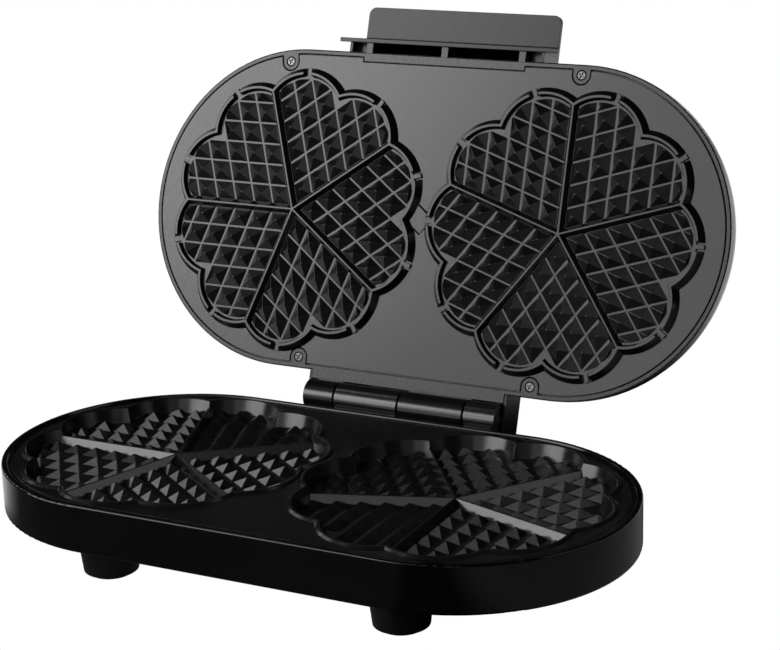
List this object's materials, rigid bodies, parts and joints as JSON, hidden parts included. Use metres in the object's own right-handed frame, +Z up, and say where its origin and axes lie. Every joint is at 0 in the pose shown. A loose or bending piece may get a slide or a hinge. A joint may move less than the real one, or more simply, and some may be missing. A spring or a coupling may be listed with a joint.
{
  "type": "double heart waffle maker",
  "caption": "Free-standing electric waffle maker with an oblong body, paired flower moulds of joined hearts in both plates, a hinged lid with a flat front grip and short round feet.",
  "frame": {"origin": "centre of the body's oblong footprint, on the plane the four feet stand on", "axes": "+Z up, +X along the long side (to the right as seen from the grip side), -Y to the front where the grip is when the lid is shut, +Y to the hinge side; stored with the lid standing open at its stop"},
  "size_m": [0.386, 0.3171, 0.2758],
  "materials": {
    "base_shell": "high gloss black moulding",
    "lid_shell": "satin dark moulding",
    "frame_grey": "fine matt grey moulding",
    "grip_plastic": "satin dark grey moulding",
    "nonstick_plate": "cast, semi-gloss dark grey non-stick coating",
    "foot_plastic": "satin black",
    "pad_rubber": "soft black",
    "bottom_sheet": "black painted sheet steel",
    "hinge_black": "black satin coating",
    "plated_steel": "zinc plated",
    "dark_screw": "dark oxide coated",
    "heater_tube": "dull sheathed tube",
    "reflector_sheet": "bright sheet",
    "thermostat_body": "plain",
    "ceramic_white": "glazed",
    "terminal_plastic": "plain",
    "lead_insulation": "heat-proof sleeve",
    "lens_red": "clear tinted",
    "lens_green": "clear tinted",
    "lamp_glass": "clear"
  },
  "bodies": {
    "base": {"base_housing": "base_shell", "base_bottom_cover": "bottom_sheet", "lower_cooking_plate": "nonstick_plate", "lower_heating_element": "heater_tube", "lower_element_clamps": "plated_steel", "lower_heat_shield": "reflector_sheet", "lower_plate_screws": "plated_steel", "lower_thermostat": "thermostat_body", "thermal_fuse": "ceramic_white", "terminal_block": "terminal_plastic", "supply_wiring": "lead_insulation", "foot_front_left": "foot_plastic", "foot_front_right": "foot_plastic", "foot_rear_left": "foot_plastic", "foot_rear_right": "foot_plastic", "foot_pads": "pad_rubber", "foot_screws": "plated_steel", "bottom_cover_screws": "plated_steel", "base_hinge_bracket": "hinge_black", "base_hinge_screws": "plated_steel", "hinge_pin": "plated_steel", "cord_inlet_gland": "pad_rubber"},
    "lid": {"lid_cover": "lid_shell", "lid_frame": "frame_grey", "upper_cooking_plate": "nonstick_plate", "upper_heating_element": "heater_tube", "upper_element_clamps": "plated_steel", "upper_heat_shield": "reflector_sheet", "upper_thermostat": "thermostat_body", "plate_back_screws": "plated_steel", "lid_frame_screws": "dark_screw", "handle_grip": "grip_plastic", "handle_screws": "plated_steel", "lid_hinge_bracket": "hinge_black", "lid_hinge_screws": "plated_steel", "power_lamp_lens": "lens_red", "ready_lamp_lens": "lens_green", "power_lamp": "lamp_glass", "ready_lamp": "lamp_glass", "lamp_wiring": "lead_insulation"}
  },
  "joints": [
    {"name": "lid_hinge", "type": "hinge", "parent": "base", "child": "lid", "pos_m": [0, 0.115, 0.0495], "axis": [-1, 0, 0], "range_deg": [-109, 0]}
  ]
}
